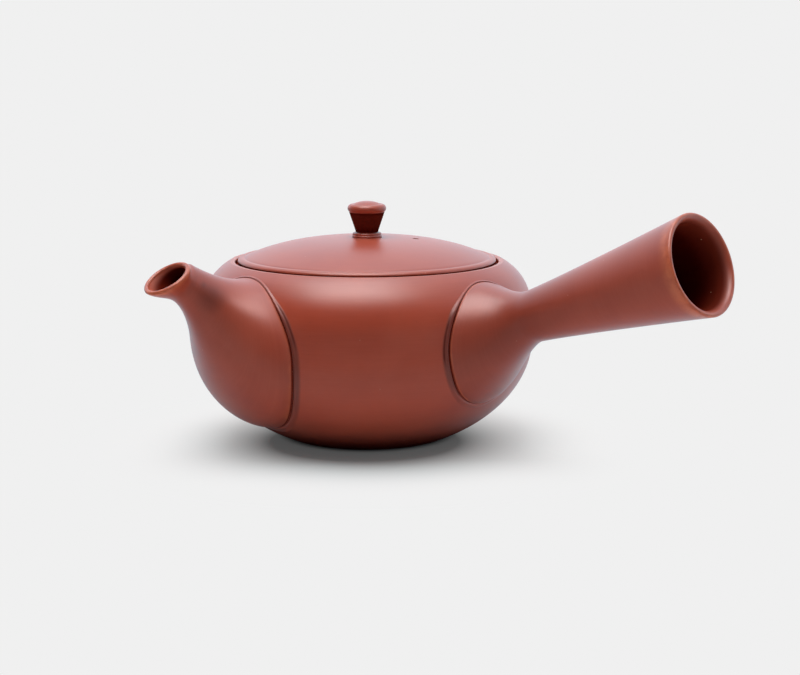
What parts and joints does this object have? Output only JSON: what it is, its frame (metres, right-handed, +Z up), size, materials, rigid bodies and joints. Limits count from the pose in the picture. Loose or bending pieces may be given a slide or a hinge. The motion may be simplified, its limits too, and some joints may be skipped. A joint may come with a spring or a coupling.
{
  "type": "kyusu teapot",
  "caption": "Side-handled unglazed clay teapot with a luted spout, a hollow handle, an inner strainer dome and a drop-in lid with a flange and a knob.",
  "frame": {"origin": "middle of the foot, on the surface that the pot stands on", "axes": "+Z up along the body's axis, +X along the handle in plan, spout near -Y"},
  "size_m": [0.2008, 0.1476, 0.0866],
  "materials": {
    "burnished_clay": "satin, burnished and unglazed",
    "strainer_clay": "matt, unglazed"
  },
  "bodies": {
    "pot": {"body_shell": "burnished_clay", "spout": "burnished_clay", "spout_luting_coil": "burnished_clay", "strainer": "strainer_clay", "handle": "burnished_clay", "handle_luting_coil": "burnished_clay"},
    "lid_ring": {"lid_flange": "burnished_clay"},
    "lid": {"lid_dome": "burnished_clay", "knob_collar": "burnished_clay", "knob": "burnished_clay"}
  },
  "joints": [
    {"name": "lid_lift", "type": "slide", "parent": "pot", "child": "lid_ring", "axis": [0, 0, 1], "range_m": [0, 0.07]},
    {"name": "lid_turn", "type": "hinge", "parent": "lid_ring", "child": "lid", "pos_m": [0, 0, 0.0604], "axis": [0, 0, 1], "continuous": true}
  ]
}
